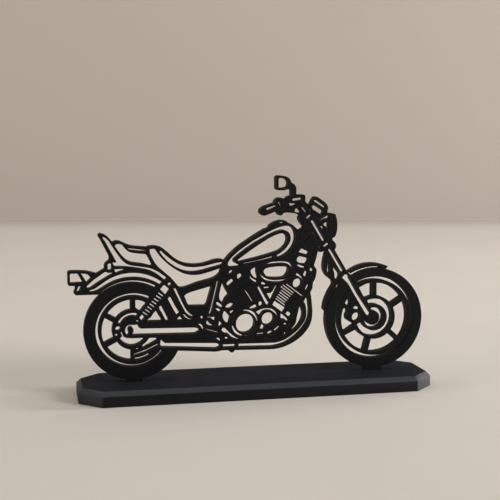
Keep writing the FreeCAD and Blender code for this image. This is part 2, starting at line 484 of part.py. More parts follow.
def engine_openings():
    shapes = [disk(COVER_CENTRE_SHARES, COVER_RADIUS_SHARE), disk(CAM_CENTRE_SHARES, CAM_RADIUS_SHARE)]
    for start, end in COVER_SLOT_DEGREES:
        shapes.append(ring_slot(COVER_CENTRE_SHARES, *COVER_SLOT_SHARES, start, end))
    shapes.append(ring_slot(CAM_CENTRE_SHARES, *CAM_SLOT_SHARES, *CAM_SLOT_DEGREES))
    shapes.extend(fins(FRONT_FIN_STARTS_SHARES, FRONT_FIN_LENGTHS_SHARE, FRONT_FIN_DEGREES))
    shapes.extend(fins(REAR_FIN_STARTS_SHARES, REAR_FIN_LENGTHS_SHARE, REAR_FIN_DEGREES))
    line_shares = [((0.183, 0.476), (0.236, 0.531), 0.008), ((0.226, 0.450), (0.216, 0.428), 0.008),
                   ((0.213, 0.394), (0.202, 0.372), 0.010)]
    shapes.extend(slots(line_shares))
    cam_rim_shares = [(-0.004, 0.448), (0.022, 0.460), (0.045, 0.465), (0.075, 0.465, S),
                      (0.102, 0.453, S), (0.122, 0.431, S), (0.129, 0.408), (0.122, 0.411),
                      (0.105, 0.438, S), (0.085, 0.451, S), (0.060, 0.453, S), (0.040, 0.446, S),
                      (0.022, 0.422), (0.009, 0.433)]
    blade_shares = [(-0.195, 0.435), (-0.188, 0.457), (-0.181, 0.457), (-0.149, 0.420), (-0.155, 0.401),
                    (-0.158, 0.388), (-0.166, 0.385), (-0.187, 0.407), (-0.193, 0.420)]
    kite_shares = [(-0.153, 0.455), (-0.137, 0.461), (-0.125, 0.450), (-0.139, 0.437), (-0.153, 0.445)]
    upper_tooth_shares = [(-0.234, 0.473), (-0.225, 0.476), (-0.202, 0.462), (-0.201, 0.454),
                          (-0.209, 0.450), (-0.223, 0.461)]
    tooth_shares = [(-0.229, 0.509), (-0.219, 0.508), (-0.191, 0.483), (-0.192, 0.475), (-0.200, 0.474),
                    (-0.230, 0.497)]
    bean_shares = [(-0.179, 0.482), (-0.169, 0.494), (-0.153, 0.502), (-0.139, 0.499), (-0.128, 0.488),
                   (-0.139, 0.473), (-0.158, 0.469), (-0.176, 0.473)]
    leaf_shares = [(-0.198, 0.617), (-0.186, 0.600), (-0.177, 0.578), (-0.161, 0.551), (-0.161, 0.546),
                   (-0.176, 0.532), (-0.189, 0.506), (-0.198, 0.506), (-0.211, 0.524), (-0.215, 0.545, S),
                   (-0.210, 0.570)]
    chip_shares = [(-0.158, 0.679), (-0.146, 0.687), (-0.131, 0.677), (-0.143, 0.663), (-0.158, 0.669)]
    port_shares = [(-0.112, 0.659), (-0.098, 0.667), (-0.080, 0.656), (-0.080, 0.645), (-0.096, 0.631),
                   (-0.111, 0.640)]
    cap_shares = [(-0.171, 0.618), (-0.147, 0.637), (-0.136, 0.634), (-0.126, 0.619), (-0.156, 0.595),
                  (-0.171, 0.602)]
    crank_bar_shares = [(-0.200, 0.358, S), (-0.190, 0.366, S), (-0.180, 0.359), (-0.155, 0.333),
                        (-0.130, 0.312, S), (-0.098, 0.294), (-0.099, 0.287), (-0.134, 0.301),
                        (-0.162, 0.328), (-0.177, 0.327), (-0.200, 0.347)]
    crank_pin_shares = [(-0.215, 0.402), (-0.210, 0.401), (-0.194, 0.379), (-0.206, 0.366),
                        (-0.218, 0.378)]
    peg_shares = [(-0.183, 0.309), (-0.172, 0.311), (-0.157, 0.297), (-0.161, 0.291), (-0.171, 0.293)]
    heel_shares = [(-0.258, 0.308), (-0.215, 0.308), (-0.201, 0.286), (-0.203, 0.282), (-0.213, 0.288),
                   (-0.224, 0.300), (-0.256, 0.301)]
    pinion_upper_shares = [(-0.282, 0.429), (-0.260, 0.426), (-0.241, 0.428), (-0.234, 0.420),
                           (-0.234, 0.404), (-0.239, 0.402), (-0.254, 0.416, S), (-0.266, 0.417),
                           (-0.282, 0.419)]
    pinion_lower_shares = [(-0.284, 0.408), (-0.279, 0.407), (-0.273, 0.395, S), (-0.264, 0.386, S),
                           (-0.252, 0.382, S), (-0.243, 0.385), (-0.241, 0.380), (-0.246, 0.371, S),
                           (-0.265, 0.373), (-0.288, 0.390)]
    link_shares = [(-0.289, 0.362), (-0.225, 0.342), (-0.215, 0.329), (-0.219, 0.331), (-0.261, 0.344),
                   (-0.286, 0.354)]
    lever_shares = [(-0.331, 0.391), (-0.321, 0.391), (-0.304, 0.376, S), (-0.297, 0.358, S),
                    (-0.303, 0.342), (-0.308, 0.340), (-0.307, 0.356), (-0.313, 0.372, S),
                    (-0.329, 0.386)]
    lever_pin_shares = [(-0.321, 0.433), (-0.312, 0.435), (-0.298, 0.420), (-0.304, 0.411),
                        (-0.315, 0.420)]
    intake_shares = [(-0.016, 0.697), (0.001, 0.697), (0.000, 0.670), (0.009, 0.637), (0.003, 0.631),
                     (-0.024, 0.651, S), (-0.035, 0.670, S), (-0.034, 0.684)]
    intake_line_shares = [(-0.043, 0.652), (-0.035, 0.644), (-0.018, 0.631), (0.008, 0.619),
                          (0.004, 0.609), (-0.020, 0.622, S), (-0.038, 0.639)]
    pushrod_shares = [(-0.070, 0.574), (-0.064, 0.573), (-0.045, 0.549), (-0.017, 0.504), (-0.018, 0.495),
                      (-0.022, 0.498), (-0.053, 0.546)]
    front_pushrod_shares = [(0.004, 0.585), (0.012, 0.592), (0.024, 0.580), (0.058, 0.518),
                            (0.076, 0.490), (0.073, 0.480), (0.064, 0.478), (0.050, 0.495)]
    gusset_shares = [(0.057, 0.550), (0.079, 0.551), (0.091, 0.563), (0.103, 0.585), (0.110, 0.592),
                     (0.123, 0.584), (0.088, 0.511), (0.076, 0.516)]
    rocker_shares = [(0.026, 0.612), (0.032, 0.615), (0.059, 0.601), (0.059, 0.594), (0.045, 0.594),
                     (0.026, 0.604)]
    rocker_pin_shares = [(0.040, 0.586), (0.072, 0.588), (0.079, 0.576), (0.074, 0.573), (0.042, 0.573)]
    crown_shares = [(-0.041, 0.474), (-0.012, 0.489), (0.003, 0.481), (0.008, 0.469), (-0.005, 0.462),
                    (-0.036, 0.459)]
    tappet_shares = [(0.010, 0.498), (0.019, 0.507), (0.027, 0.505), (0.039, 0.490), (0.038, 0.481),
                     (0.030, 0.474), (0.012, 0.482)]
    fang_shares = [(0.026, 0.378), (0.050, 0.356), (0.043, 0.341), (0.031, 0.343), (0.018, 0.354),
                   (0.023, 0.364)]
    sump_shares = [(0.000, 0.325), (0.046, 0.328), (0.046, 0.313), (0.000, 0.312)]
    sump_mark_shares = [(0.060, 0.328), (0.075, 0.336), (0.095, 0.335), (0.095, 0.320), (0.080, 0.313),
                        (0.061, 0.314)]
    filter_shares = [(0.099, 0.342), (0.124, 0.362), (0.140, 0.350), (0.116, 0.327)]
    stud_shares = [(0.155, 0.373), (0.162, 0.379), (0.180, 0.364), (0.174, 0.358)]
    low_stud_shares = [(0.157, 0.322), (0.176, 0.328), (0.180, 0.316), (0.174, 0.307), (0.165, 0.306),
                       (0.159, 0.311)]
    sump_line_shares = [(-0.080, 0.292), (0.080, 0.292), (0.110, 0.299, S), (0.138, 0.319, S),
                        (0.166, 0.350, S), (0.184, 0.382), (0.176, 0.385), (0.159, 0.354, S),
                        (0.132, 0.326), (0.107, 0.307, S), (0.080, 0.300), (-0.080, 0.300)]
    rib_shares = [(0.137, 0.432), (0.145, 0.429), (0.180, 0.400), (0.189, 0.387), (0.184, 0.381),
                  (0.165, 0.397), (0.138, 0.398)]
    block_shares = [(0.165, 0.432), (0.179, 0.444), (0.206, 0.423), (0.205, 0.417), (0.193, 0.405)]
    head_shares = [(0.089, 0.485), (0.102, 0.505), (0.172, 0.458), (0.156, 0.434)]
    for points in (cam_rim_shares, blade_shares, kite_shares, upper_tooth_shares, tooth_shares, bean_shares,
                   leaf_shares, chip_shares, port_shares, cap_shares, crank_bar_shares, crank_pin_shares,
                   peg_shares, heel_shares, pinion_upper_shares, pinion_lower_shares, link_shares,
                   lever_shares, lever_pin_shares, intake_shares, intake_line_shares, pushrod_shares,
                   front_pushrod_shares, gusset_shares, rocker_shares, rocker_pin_shares, crown_shares,
                   tappet_shares, fang_shares, sump_shares, sump_mark_shares, filter_shares, stud_shares,
                   low_stud_shares, sump_line_shares, rib_shares, block_shares, head_shares):
        shapes.append(outline(points))
    return shapes


def air_cleaner_openings():
    cover_shares = [(0.040, 0.680), (0.049, 0.689), (0.070, 0.696), (0.110, 0.700), (0.160, 0.700, S),
                    (0.184, 0.692, S), (0.182, 0.671, S), (0.170, 0.649, S), (0.155, 0.638, S),
                    (0.100, 0.637), (0.065, 0.641, S), (0.050, 0.652, S), (0.040, 0.669)]
    under_shares = [(0.014, 0.686), (0.014, 0.670, S), (0.025, 0.647, S), (0.040, 0.631, S),
                    (0.065, 0.617, S), (0.100, 0.611), (0.140, 0.610), (0.165, 0.614, S),
                    (0.185, 0.629, S), (0.201, 0.654), (0.193, 0.657), (0.180, 0.640, S),
                    (0.162, 0.627, S), (0.140, 0.624), (0.100, 0.623), (0.068, 0.627, S),
                    (0.045, 0.637, S), (0.030, 0.653), (0.022, 0.666, S), (0.022, 0.685)]
    over_shares = [(0.026, 0.694), (0.040, 0.708, S), (0.066, 0.721, S), (0.090, 0.727),
                   (0.140, 0.729, S), (0.180, 0.724, S), (0.205, 0.708, S), (0.213, 0.686, S),
                   (0.212, 0.673), (0.207, 0.672), (0.200, 0.694, S), (0.189, 0.708, S),
                   (0.171, 0.715, S), (0.130, 0.717, S), (0.073, 0.711), (0.050, 0.705, S),
                   (0.033, 0.692)]
    return [outline(points) for points in (cover_shares, under_shares, over_shares)]


# The line round the nose of the tank
TANK_NOSE_CENTRE_SHARES = (0.111, 0.869)
TANK_NOSE_SLOT_SHARES = (0.129, 0.137)
TANK_NOSE_SLOT_DEGREES = (-61, 7)


def tank_openings():
    rim_shares = [(0.113, 0.762), (0.132, 0.751), (0.163, 0.765, S), (0.189, 0.785, S), (0.215, 0.820, S),
                  (0.225, 0.860, S), (0.217, 0.901, S), (0.195, 0.925, S), (0.160, 0.929, S),
                  (0.120, 0.919, S), (0.060, 0.892), (-0.020, 0.848), (-0.100, 0.795), (-0.150, 0.751, S),
                  (-0.165, 0.725, S), (-0.162, 0.712), (-0.146, 0.704), (-0.100, 0.706), (-0.093, 0.712),
                  (-0.112, 0.719), (-0.130, 0.729, S), (-0.131, 0.744, S), (-0.110, 0.763),
                  (-0.050, 0.807), (0.000, 0.838), (0.080, 0.881), (0.120, 0.898, S), (0.156, 0.906, S),
                  (0.184, 0.894, S), (0.196, 0.867, S), (0.1925, 0.838, S), (0.168, 0.801, S),
                  (0.142, 0.780, S)]
    panel_shares = [(-0.108, 0.743), (-0.080, 0.763), (-0.030, 0.798), (0.020, 0.830), (0.070, 0.861, S),
                    (0.110, 0.879, S), (0.145, 0.888, S), (0.168, 0.878, S), (0.177, 0.855, S),
                    (0.170, 0.828, S), (0.152, 0.805, S), (0.125, 0.787, S), (0.080, 0.774),
                    (0.000, 0.753), (-0.080, 0.736), (-0.096, 0.732), (-0.108, 0.737)]
    seam_shares = [(-0.080, 0.723), (0.000, 0.737), (0.083, 0.757), (0.098, 0.755), (0.096, 0.747),
                   (0.020, 0.731), (-0.064, 0.716)]
    cap_shares = [(0.130, 0.948), (0.141, 0.949), (0.157, 0.944), (0.158, 0.941), (0.146, 0.9405),
                  (0.133, 0.944)]
    edge = ring_slot(TANK_NOSE_CENTRE_SHARES, *TANK_NOSE_SLOT_SHARES, *TANK_NOSE_SLOT_DEGREES)
    return [edge] + [outline(points) for points in (rim_shares, panel_shares, seam_shares, cap_shares)]


# Steering head, fork and caliper
HORN_CENTRE_SHARES = (0.235, 0.601)
HORN_RADIUS_SHARE = 0.0275
CALIPER_EYE_CENTRE_SHARES = (0.583, 0.397)
CALIPER_EYE_RADIUS_SHARE = 0.0255


def head_openings():
    """Openings between the engine and the steering head."""
    shapes = [disk(HORN_CENTRE_SHARES, HORN_RADIUS_SHARE)]
    hood_shares = [(0.224, 0.649), (0.229, 0.658), (0.250, 0.648), (0.266, 0.635, S), (0.278, 0.616, S),
                   (0.281, 0.600), (0.274, 0.599), (0.271, 0.614, S), (0.259, 0.6305, S), (0.242, 0.6415)]
    square_shares = [(0.267, 0.651), (0.277, 0.671), (0.299, 0.661), (0.292, 0.634), (0.273, 0.642)]
    dash_shares = [(0.231, 0.704), (0.239, 0.708), (0.286, 0.690), (0.282, 0.684), (0.262, 0.686)]
    coil_box_shares = [(0.229, 0.733), (0.234, 0.748), (0.245, 0.755), (0.298, 0.742), (0.298, 0.725),
                       (0.286, 0.710), (0.260, 0.712), (0.237, 0.721)]
    hat_shares = [(0.243, 0.782), (0.260, 0.801), (0.280, 0.787), (0.304, 0.778), (0.304, 0.768),
                  (0.297, 0.760), (0.244, 0.777)]
    bolt_shares = [(0.306, 0.681), (0.310, 0.689), (0.331, 0.676), (0.333, 0.668), (0.329, 0.662),
                   (0.308, 0.670)]
    nut_shares = [(0.280, 0.571), (0.291, 0.593), (0.309, 0.582), (0.297, 0.557), (0.283, 0.560)]
    steering_shares = [(0.310, 0.951), (0.315, 0.957), (0.334, 0.951), (0.400, 0.838), (0.394, 0.831),
                       (0.377, 0.841)]
    clamp_shares = [(0.357, 0.808), (0.372, 0.808), (0.375, 0.794), (0.363, 0.793)]
    for points in (hood_shares, square_shares, dash_shares, coil_box_shares, hat_shares, bolt_shares,
                   nut_shares, steering_shares, clamp_shares):
        shapes.append(outline(points))
    line_shares = [((0.336, 0.806), (0.322, 0.757), 0.010), ((0.319, 0.734), (0.314, 0.706), 0.008),
                   ((0.312, 0.643), (0.327, 0.638), 0.012), ((0.263, 0.885), (0.290, 0.899), 0.007),
                   ((0.264, 0.832), (0.305, 0.869), 0.010), ((0.277, 0.800), (0.330, 0.837), 0.010),
                   ((0.317, 0.896), (0.351, 0.846), 0.008)]
    return shapes + slots(line_shares)


def bar_openings():
    mirror_shares = [(0.124, 1.196, 0.008), (0.160, 1.192, S), (0.178, 1.178, S), (0.179, 1.155, S),
                     (0.172, 1.144, S), (0.150, 1.140), (0.124, 1.140, 0.005)]
    cylinder_shares = [(0.204, 1.079), (0.252, 1.085), (0.264, 1.080), (0.262, 1.071), (0.225, 1.065),
                       (0.204, 1.067)]
    clamp_shares = [(0.182, 1.054), (0.235, 1.050), (0.225, 1.043), (0.202, 1.036), (0.189, 1.043)]
    grip_shares = [(0.053, 1.024), (0.060, 1.030), (0.097, 1.041), (0.119, 1.041), (0.119, 1.036),
                   (0.072, 1.016), (0.056, 1.018)]
    lever_shares = [(0.120, 1.060), (0.125, 1.063), (0.136, 1.058), (0.145, 1.038), (0.142, 1.031),
                    (0.134, 1.033), (0.128, 1.049)]
    pivot_shares = [(0.216, 1.012), (0.224, 1.026), (0.242, 1.019), (0.256, 1.003), (0.251, 0.998),
                    (0.220, 1.003)]
    riser_shares = [(0.254, 1.029), (0.273, 1.028), (0.295, 0.999), (0.282, 0.998)]
    yoke_shares = [(0.282, 0.971), (0.300, 0.988), (0.323, 0.981), (0.304, 0.963)]
    dial_shares = [(0.327, 1.069), (0.345, 1.070), (0.401, 1.031), (0.398, 1.023), (0.388, 1.024),
                   (0.331, 1.062)]
    glass_shares = [(0.315, 1.031), (0.324, 1.041), (0.335, 1.040), (0.384, 1.008), (0.384, 0.996),
                    (0.372, 0.987), (0.322, 1.019)]
    lamp_brow_shares = [(0.364, 0.958), (0.404, 0.981), (0.422, 0.981), (0.421, 0.965), (0.400, 0.962),
                        (0.363, 0.946)]
    lamp_ear_shares = [(0.382, 0.934), (0.400, 0.946), (0.414, 0.948), (0.417, 0.905), (0.412, 0.890),
                       (0.407, 0.892), (0.405, 0.915), (0.390, 0.925)]
    lamp_bolt_shares = [(0.366, 0.921), (0.374, 0.924), (0.391, 0.914), (0.393, 0.903), (0.384, 0.903),
                        (0.374, 0.912)]
    lamp_rim_shares = [(0.436, 0.973), (0.445, 0.975), (0.449, 0.925, S), (0.444, 0.872), (0.437, 0.873),
                       (0.440, 0.925, S)]
    line_shares = [((0.303, 1.022), (0.316, 1.001), 0.010), ((0.284, 1.038), (0.302, 1.025), 0.005),
                   ((0.143, 1.017), (0.186, 1.030), 0.007)]
    return slots(line_shares) + [outline(points) for points in (
        mirror_shares, cylinder_shares, clamp_shares, grip_shares, lever_shares, pivot_shares, riser_shares,
        yoke_shares, dial_shares, glass_shares, lamp_brow_shares, lamp_ear_shares, lamp_bolt_shares,
        lamp_rim_shares)]


def fork_openings():
    shapes = [disk(CALIPER_EYE_CENTRE_SHARES, CALIPER_EYE_RADIUS_SHARE)]
    yoke_shares = [(0.384, 0.810), (0.403, 0.826), (0.425, 0.820), (0.425, 0.814), (0.407, 0.802),
                   (0.386, 0.803)]
    upper_tube_shares = [(0.413, 0.788), (0.418, 0.794), (0.438, 0.782), (0.512, 0.662), (0.506, 0.653),
                         (0.485, 0.666)]
    cover_shares = [(0.409, 0.712), (0.416, 0.732), (0.422, 0.732), (0.427, 0.660), (0.423, 0.646),
                    (0.411, 0.653), (0.408, 0.670)]
    shield_shares = [(0.442, 0.685), (0.462, 0.674), (0.482, 0.648), (0.482, 0.632), (0.476, 0.615),
                     (0.453, 0.625), (0.451, 0.650)]
    lower_tube_shares = [(0.497, 0.627), (0.512, 0.644), (0.540, 0.641), (0.547, 0.615), (0.600, 0.521),
                         (0.676, 0.408), (0.668, 0.394), (0.642, 0.410), (0.613, 0.456), (0.532, 0.592)]
    clip_shares = [(0.522, 0.492), (0.530, 0.502), (0.539, 0.504), (0.545, 0.497), (0.547, 0.471),
                   (0.543, 0.461), (0.524, 0.470), (0.516, 0.479)]
    caliper_shares = [(0.565, 0.448), (0.572, 0.459), (0.584, 0.458), (0.608, 0.445), (0.606, 0.433),
                      (0.569, 0.442)]
    stay_end_shares = [(0.459, 0.575), (0.467, 0.585), (0.487, 0.576), (0.476, 0.566)]
    for points in (yoke_shares, upper_tube_shares, cover_shares, shield_shares, lower_tube_shares,
                   clip_shares, caliper_shares, stay_end_shares):
        shapes.append(outline(points))
    line_shares = [((0.528, 0.554), (0.539, 0.547), 0.010), ((0.564, 0.483), (0.581, 0.477), 0.014),
                   ((0.544, 0.436), (0.556, 0.432), 0.010), ((0.541, 0.406), (0.539, 0.388), 0.008)]
    return shapes + slots(line_shares)


# The two solids
FOOT_PLACES_SHARES = (REAR_CENTRE_SHARES, FRONT_CENTRE_SHARES)
# How far a foot reaches up into its tyre
FOOT_LAP_SHARE = 0.03


def foot(place, tyre_share):
    """The tab below a tyre, from inside the tread down to the floor of its pocket."""
    top = ZERO_LINE + (place[1] - tyre_share + FOOT_LAP_SHARE) * UNIT
    bottom = BASE_HEIGHT - FOOT_DEPTH
    corner = Vector(place[0] * UNIT - FOOT_WIDTH / 2, FRONT_FACE, bottom)
    return Part.makeBox(FOOT_WIDTH, PLATE_THICKNESS, top - bottom, corner)


def figure():
    """The cut-out plate: one outline, all its openings and the two feet."""
    openings = (rear_wheel_openings() + front_wheel_openings() + fender_gaps() + tail_openings()
                + seat_openings() + shock_openings() + frame_openings() + swing_arm_openings()
                + engine_openings() + air_cleaner_openings() + tank_openings() + head_openings()
                + bar_openings() + fork_openings())
    drawing = silhouette().cut(openings)
    plate = drawing.removeSplitter().extrude(THROUGH)
    tyres = (REAR_TYRE_SHARE, FRONT_TYRE_SHARE)
    feet = [foot(place, tyre) for place, tyre in zip(FOOT_PLACES_SHARES, tyres)]
    return plate.fuse(feet).removeSplitter()


def base_outline(inset, height):
    """The eight-sided outline of the base, moved in by an inset, at a height."""
    half_length = BASE_LENGTH / 2 - inset
    half_depth = BASE_DEPTH / 2 - inset
    cut = BASE_CORNER_CUT - inset * (2 - math.sqrt(2))
    corners = [(half_length, half_depth - cut), (half_length - cut, half_depth)]
    corners += [(-x, z) for x, z in reversed(corners)]
    corners += [(-x, -z) for x, z in corners]
    points = [Vector(x, y, height) for x, y in corners]
    return Part.makePolygon(points + points[:1])


def base():
    """The slab with its sloped upper edge and the two pockets that hold the feet."""
    shoulder = BASE_HEIGHT - BASE_CHAMFER
    wall = Part.Face(base_outline(0, 0)).extrude(Vector(0, 0, shoulder))
    slope = Part.makeLoft([base_outline(0, shoulder), base_outline(BASE_CHAMFER, BASE_HEIGHT)], True, True)
    slab = wall.fuse(slope).removeSplitter()
    pockets = []
    for place in FOOT_PLACES_SHARES:
        width = FOOT_WIDTH + 2 * FOOT_CLEARANCE
        depth = PLATE_THICKNESS + 2 * FOOT_CLEARANCE
        corner = Vector(place[0] * UNIT - width / 2, -depth / 2, BASE_HEIGHT - FOOT_DEPTH)
        pockets.append(Part.makeBox(width, depth, BASE_HEIGHT, corner))
    return slab.cut(pockets)


def save(shape, name):
    os.makedirs("parts", exist_ok=True)
    shape.exportStep(os.path.join("parts", name + ".step"))
    print(name, "solids", len(shape.Solids), "volume", round(shape.Volume, 1), "valid", shape.isValid())


save(figure(), "cutout_figure")
save(base(), "base")
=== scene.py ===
"""Looks of a desk ornament: the flat cut-out figure of a cruiser motorcycle on an eight-sided base.

Everything is in metres, in the frame of the CAD part. The figure is one plate that lies in the
XZ plane, and its front face looks towards -Y.
"""

import json
import logging
import math
from dataclasses import dataclass, field
from enum import Enum

import bpy
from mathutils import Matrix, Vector

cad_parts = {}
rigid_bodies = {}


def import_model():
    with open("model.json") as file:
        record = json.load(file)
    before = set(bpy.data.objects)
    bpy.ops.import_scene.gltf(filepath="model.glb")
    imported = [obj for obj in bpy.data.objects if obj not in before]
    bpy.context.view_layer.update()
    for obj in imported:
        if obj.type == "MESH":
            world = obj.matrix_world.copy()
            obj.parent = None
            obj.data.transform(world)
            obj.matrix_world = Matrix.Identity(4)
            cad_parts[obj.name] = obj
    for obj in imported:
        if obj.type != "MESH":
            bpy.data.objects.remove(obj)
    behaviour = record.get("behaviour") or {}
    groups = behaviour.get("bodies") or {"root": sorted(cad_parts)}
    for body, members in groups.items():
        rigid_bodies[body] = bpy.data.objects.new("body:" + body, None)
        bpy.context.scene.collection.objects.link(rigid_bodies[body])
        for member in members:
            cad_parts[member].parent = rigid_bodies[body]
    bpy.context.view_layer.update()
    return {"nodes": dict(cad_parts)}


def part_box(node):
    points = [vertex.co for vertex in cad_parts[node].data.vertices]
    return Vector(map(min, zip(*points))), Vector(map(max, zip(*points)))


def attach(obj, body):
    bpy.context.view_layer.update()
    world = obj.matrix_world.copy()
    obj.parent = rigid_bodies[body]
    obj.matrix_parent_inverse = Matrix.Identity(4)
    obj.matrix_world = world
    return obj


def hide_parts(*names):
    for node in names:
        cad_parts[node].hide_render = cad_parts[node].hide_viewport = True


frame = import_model()

LOG = logging.getLogger("ornament")
ROOT_BODY = "root"
EDGE_MARK = "edge"

# The curve between a screen's levels and linear light
SCREEN_TOP = 255
CURVE_KNEE = 0.04045
CURVE_SLOPE = 12.92
CURVE_OFFSET = 0.055
CURVE_POWER = 2.4

# The colour sockets of a Mix node, by number, because their names repeat
MIX_SHARE = 0
MIX_FIRST = 6
MIX_SECOND = 7
MIX_RESULT = 2

# Points of the CAD mesh closer than this are one point
MERGE_DISTANCE = 1e-6
# A face whose normal has at least this much of an axis lies across it
FLAT_FACING = 0.99

Colour = tuple[float, float, float]


class Wall(Enum):
    """Which way a part was built up in layers, as the axis that the layers are stacked along."""

    PLATE = "Y"
    SLAB = "Z"


def rgba(colour: Colour) -> tuple[float, float, float, float]:
    """Returns a linear colour with full alpha."""
    return (*colour, 1.0)


def from_screen(red: int, green: int, blue: int) -> Colour:
    """Turns a colour as it is seen on a screen into a linear one.

    Args:
        red: The red level, 0 to 255.
        green: The green level, 0 to 255.
        blue: The blue level, 0 to 255.

    Returns:
        The linear colour.
    """
    def linear(level: int) -> float:
        """Returns one linear channel."""
        share = level / SCREEN_TOP
        if share <= CURVE_KNEE:
            return share / CURVE_SLOPE
        return ((share + CURVE_OFFSET) / (1 + CURVE_OFFSET)) ** CURVE_POWER

    return (linear(red), linear(green), linear(blue))


class Graph:
    """Adds nodes to one tree and joins them in few words."""

    def __init__(self, tree: bpy.types.NodeTree) -> None:
        """Starts on a tree.

        Args:
            tree: The node tree to add to.
        """
        self.tree = tree

    def add(self, kind: str, settings: dict | None = None, **values: object) -> bpy.types.Node:
        """Adds a node.

        Args:
            kind: The node's type, without its "ShaderNode" start.
            settings: Properties of the node itself.
            **values: Input values or sockets by name, with _ for a space.

        Returns:
            The new node.
        """
        node = self.tree.nodes.new("ShaderNode" + kind)
        for name, value in (settings or {}).items():
            setattr(node, name, value)
        for name, value in values.items():
            self.set(node, name.replace("_", " "), value)
        return node

    def set(self, node: bpy.types.Node, name: str | int, value: object) -> None:
        """Gives an input a plain value, or joins it to a socket.

        Args:
            node: The node that has the input.
            name: The input's name or number.
            value: A number, colour, vector or output socket.
        """
        if isinstance(value, bpy.types.NodeSocket):
            self.tree.links.new(value, node.inputs[name])
        else:
            node.inputs[name].default_value = value

    def math(self, operation: str, first: object, second: object = 0.0) -> bpy.types.NodeSocket:
        """Joins two numbers.

        Args:
            operation: A Math node's operation.
            first: A number or socket.
            second: A number or socket.

        Returns:
            The result's socket.
        """
        node = self.tree.nodes.new("ShaderNodeMath")
        node.operation = operation
        self.set(node, 0, first)
        self.set(node, 1, second)
        return node.outputs[0]

    def blend(self, share: object, first: object, second: object) -> bpy.types.NodeSocket:
        """Blends two colours.

        Args:
            share: How much of the second colour, 0 to 1.
            first: A colour or socket.
            second: A colour or socket.

        Returns:
            The result's socket.
        """
        node = self.tree.nodes.new("ShaderNodeMix")
        node.data_type = "RGBA"
        self.set(node, MIX_SHARE, share)
        self.set(node, MIX_FIRST, first)
        self.set(node, MIX_SECOND, second)
        return node.outputs[MIX_RESULT]

    def spread(self, value: object, low: float, high: float, start: float = 0.0,
               end: float = 1.0) -> bpy.types.NodeSocket:
        """Maps a range of values onto another, smoothly and within its ends.

        Args:
            value: The number or socket to map.
            low: Where the first range starts.
            high: Where the first range ends.
            start: The result at low.
            end: The result at high.

        Returns:
            The result's socket.
        """
        node = self.tree.nodes.new("ShaderNodeMapRange")
        node.interpolation_type = "SMOOTHSTEP"
        for name, number in (("Value", value), ("From Min", low), ("From Max", high),
                             ("To Min", start), ("To Max", end)):
            self.set(node, name, number)
        return node.outputs[0]


class EffectGroup:
    """A shader effect that several finishes share, built once as a node group."""

    title = "effect"
    inputs: tuple[tuple[str, str, float], ...] = ()
    outputs: tuple[tuple[str, str], ...] = ()

    def tree(self) -> bpy.types.NodeTree:
        """Returns the group's tree, built the first time that it is asked for."""
        found = bpy.data.node_groups.get(self.title)
        if found:
            return found
        tree = bpy.data.node_groups.new(self.title, "ShaderNodeTree")
        tree.interface.new_socket("Vector", in_out="INPUT", socket_type="NodeSocketVector")
        for name, kind, value in self.inputs:
            socket = tree.interface.new_socket(name, in_out="INPUT", socket_type=kind)
            socket.default_value = value
        for name, kind in self.outputs:
            tree.interface.new_socket(name, in_out="OUTPUT", socket_type=kind)
        graph = Graph(tree)
        self.fill(graph, tree.nodes.new("NodeGroupInput").outputs, tree.nodes.new("NodeGroupOutput"))
        return tree

    def fill(self, graph: Graph, given: bpy.types.NodeOutputs, result: bpy.types.Node) -> None:
        """Builds what is inside the group.

        Args:
            graph: The group's graph.
            given: The sockets that hold the group's inputs.
            result: The node that takes its outputs.
        """
        raise NotImplementedError

    def place(self, graph: Graph, vector: bpy.types.NodeSocket, **values: object) -> bpy.types.Node:
        """Places the group in a material.

        Args:
            graph: The material's graph.
            vector: The coordinates that the effect reads.
            **values: The group's inputs by name, with _ for a space.

        Returns:
            The group's node.
        """
        node = graph.add("Group", {"node_tree": self.tree()})
        graph.set(node, "Vector", vector)
        for name, value in values.items():
            graph.set(node, name.replace("_", " "), value)
        return node


class MouldGrain(EffectGroup):
    """The fine grain and slow mottling of matte plastic."""

    title = "mould_grain"
    inputs = (("Grain Size", "NodeSocketFloat", 0.0004), ("Mottle Size", "NodeSocketFloat", 0.02))
    outputs = (("Height", "NodeSocketFloat"), ("Mottle", "NodeSocketFloat"))
    fine_noise = {"Detail": 3.0, "Roughness": 0.6}
    slow_noise = {"Detail": 4.0, "Roughness": 0.5}
    mottle_range = (0.3, 0.7)

    def fill(self, graph: Graph, given: bpy.types.NodeOutputs, result: bpy.types.Node) -> None:
        """Adds two scales of noise, a fine one for the height and a slow one for the tone.

        Args:
            graph: The group's graph.
            given: The sockets that hold the group's inputs.
            result: The node that takes its outputs.
        """
        fine = graph.add("TexNoise", Vector=given["Vector"], **self.fine_noise,
                         Scale=graph.math("DIVIDE", 1.0, given["Grain Size"]))
        slow = graph.add("TexNoise", Vector=given["Vector"], **self.slow_noise,
                         Scale=graph.math("DIVIDE", 1.0, given["Mottle Size"]))
        graph.set(result, "Height", fine.outputs["Fac"])
        graph.set(result, "Mottle", graph.spread(slow.outputs["Fac"], *self.mottle_range))


